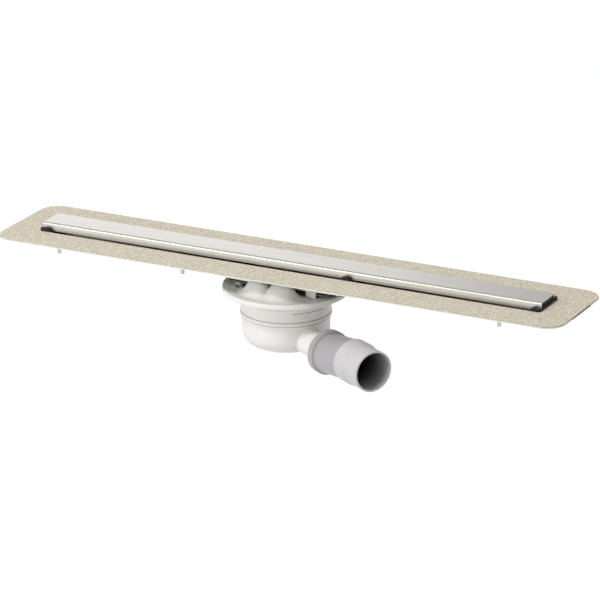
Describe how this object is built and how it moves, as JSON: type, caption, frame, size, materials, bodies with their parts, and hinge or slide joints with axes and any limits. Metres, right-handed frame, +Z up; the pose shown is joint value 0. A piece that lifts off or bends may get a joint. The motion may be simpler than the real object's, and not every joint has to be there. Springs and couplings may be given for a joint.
{
  "type": "linear shower drain",
  "caption": "Linear shower drain: sanded flange and falling trough under a folded steel cover bar, with a low water trap and a plain side outlet pipe.",
  "frame": {"origin": "middle of the flange, at the top of its sanded coat", "axes": "+X along the channel, +Z up out of the floor, the outlet leaves towards -Y and +X"},
  "size_m": [0.75, 0.193, 0.1221],
  "materials": {
    "tray_steel": "satin stainless sheet",
    "bar_steel": "finely brushed along its length",
    "pin_steel": "plain turned",
    "sand": "fine sand bonded to the sheet, speckled beige",
    "black_plastic": "moulded, slightly shiny",
    "white_plastic": "moulded white, soft sheen",
    "socket_plastic": "lilac-grey moulding, soft sheen",
    "pipe_plastic": "grey pipe, soft sheen",
    "seal_rubber": "black sealing rubber"
  },
  "bodies": {
    "root": {"channel_tray": "tray_steel", "sand_coat": "sand", "cover_bar": "bar_steel", "end_cap_left": "black_plastic", "end_cap_right": "black_plastic", "bar_support_left": "black_plastic", "bar_support_right": "black_plastic", "fixing_pin_front_left": "pin_steel", "fixing_pin_front_middle": "pin_steel", "fixing_pin_front_right": "pin_steel", "fixing_pin_back_left": "pin_steel", "fixing_pin_back_middle": "pin_steel", "fixing_pin_back_right": "pin_steel", "outlet_plate": "tray_steel", "plate_screws": "pin_steel", "inlet_dish": "white_plastic", "neck_seal": "seal_rubber", "body_seal": "seal_rubber", "trap_body": "white_plastic", "dip_tube": "white_plastic", "dip_tube_seal": "seal_rubber", "trap_cup": "white_plastic", "hair_strainer": "white_plastic", "outlet_socket": "socket_plastic", "outlet_lip_seal": "seal_rubber", "outlet_pipe": "pipe_plastic"}
  },
  "joints": []
}
